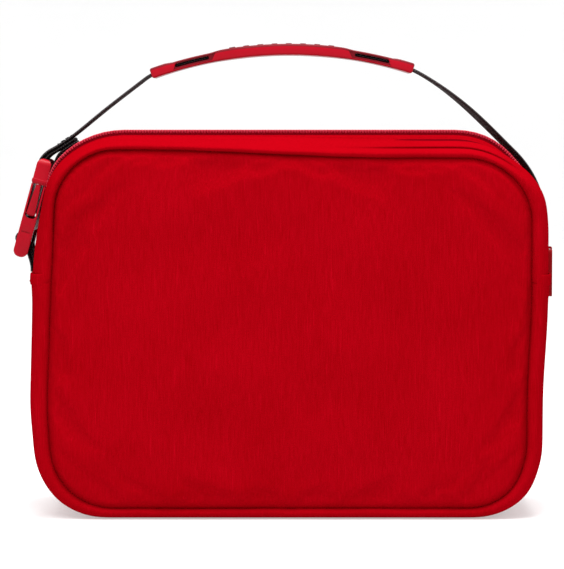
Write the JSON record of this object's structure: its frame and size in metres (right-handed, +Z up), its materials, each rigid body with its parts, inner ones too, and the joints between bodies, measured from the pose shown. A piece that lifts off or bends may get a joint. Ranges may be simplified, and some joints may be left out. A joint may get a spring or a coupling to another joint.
{
  "type": "lunch bag",
  "caption": "Soft insulated lunch bag with a zipped front lid, an arched carry grip on webbing and a side-release buckle.",
  "frame": {"origin": "middle of the flat base of the bag", "axes": "+Z up, front of the bag faces -Y, +X to the right seen from the front"},
  "size_m": [0.2708, 0.08, 0.234],
  "materials": {
    "red_nylon": "fine heathered nylon weave, satin",
    "insulating_foam": "closed-cell foam, matt",
    "silver_liner": "heat-reflecting coated film, soft sheen",
    "binding_tape": "folded tape",
    "zip_tape": "woven herringbone tape",
    "zip_coil": "moulded nylon coil, satin",
    "lacquered_metal": "red lacquer",
    "black_webbing": "ribbed woven webbing",
    "thread": "sewing thread",
    "red_plastic": "moulded plastic, satin"
  },
  "bodies": {
    "bag": {"back_cover": "red_nylon", "back_foam": "insulating_foam", "back_liner": "silver_liner", "buckle_male_base": "red_plastic", "buckle_tab": "black_webbing", "fold_stitching": "thread", "front_cover_lower": "red_nylon", "front_foam_lower": "insulating_foam", "front_liner_lower": "silver_liner", "front_seam_binding_lower": "binding_tape", "hem_bar_tacks": "thread", "left_hem_strip": "red_nylon", "lower_gusset_cover": "red_nylon", "lower_gusset_foam": "insulating_foam", "lower_gusset_liner": "silver_liner", "rear_gusset_cover": "red_nylon", "rear_gusset_foam": "insulating_foam", "rear_gusset_liner": "silver_liner", "rear_seam_binding": "binding_tape", "rear_zip_coil": "zip_coil", "rear_zip_facing": "red_nylon", "rear_zip_stops": "zip_coil", "rear_zip_tape": "zip_tape", "right_hem_strip": "red_nylon", "strap_left_fold": "black_webbing", "strap_right_lower": "black_webbing"},
    "lid": {"front_cover_upper": "red_nylon", "front_foam_upper": "insulating_foam", "front_liner_upper": "silver_liner", "front_seam_binding_upper": "binding_tape", "front_zip_coil": "zip_coil", "front_zip_facing": "red_nylon", "front_zip_stops": "zip_coil", "front_zip_tape": "zip_tape", "lid_gusset_cover": "red_nylon", "lid_gusset_foam": "insulating_foam", "lid_gusset_liner": "silver_liner"},
    "handle": {"grip": "red_plastic", "strap_in_grip": "black_webbing", "strap_left_upper": "black_webbing", "strap_right_upper": "black_webbing"},
    "buckle_socket": {"buckle_socket": "red_plastic"},
    "buckle_arm_front": {"buckle_arm_front": "red_plastic"},
    "buckle_arm_rear": {"buckle_arm_rear": "red_plastic"},
    "zip_slider": {"zip_slider": "lacquered_metal"},
    "zip_pull": {"zip_pull": "lacquered_metal"}
  },
  "joints": [
    {"name": "lid_fold", "type": "hinge", "parent": "bag", "child": "lid", "pos_m": [0, -0.0403, 0.12], "axis": [1, 0, 0], "range_deg": [0, 70]},
    {"name": "handle_swing", "type": "hinge", "parent": "bag", "child": "handle", "pos_m": [0, 0.0073, 0.178], "axis": [1, 0, 0], "range_deg": [-60, 50], "deforming": ["strap_left_upper", "strap_right_upper"]},
    {"name": "buckle_release", "type": "slide", "parent": "bag", "child": "buckle_socket", "axis": [-0.2672, 0, -0.9636], "range_m": [0, 0.024], "deforming": ["buckle_tab"]},
    {"name": "front_arm_press", "type": "hinge", "parent": "bag", "child": "buckle_arm_front", "pos_m": [-0.12736, -0.00495, 0.16318], "axis": [0.9636, 0, -0.2672], "range_deg": [0, 6], "stiffness_Nm_per_rad": 0.3},
    {"name": "rear_arm_press", "type": "hinge", "parent": "bag", "child": "buckle_arm_rear", "pos_m": [-0.12736, 0.01955, 0.16318], "axis": [-0.9636, 0, 0.2672], "range_deg": [0, 6], "stiffness_Nm_per_rad": 0.3},
    {"name": "zip_slide", "type": "slide", "parent": "bag", "child": "zip_slider", "axis": [0, 0, 1], "range_m": [0, 0.01], "deforming": ["front_zip_coil", "rear_zip_coil"]},
    {"name": "zip_pull_swing", "type": "hinge", "parent": "zip_slider", "child": "zip_pull", "pos_m": [0.1296, -0.009, 0.1308], "axis": [0, -1, 0], "range_deg": [0, 160]}
  ]
}
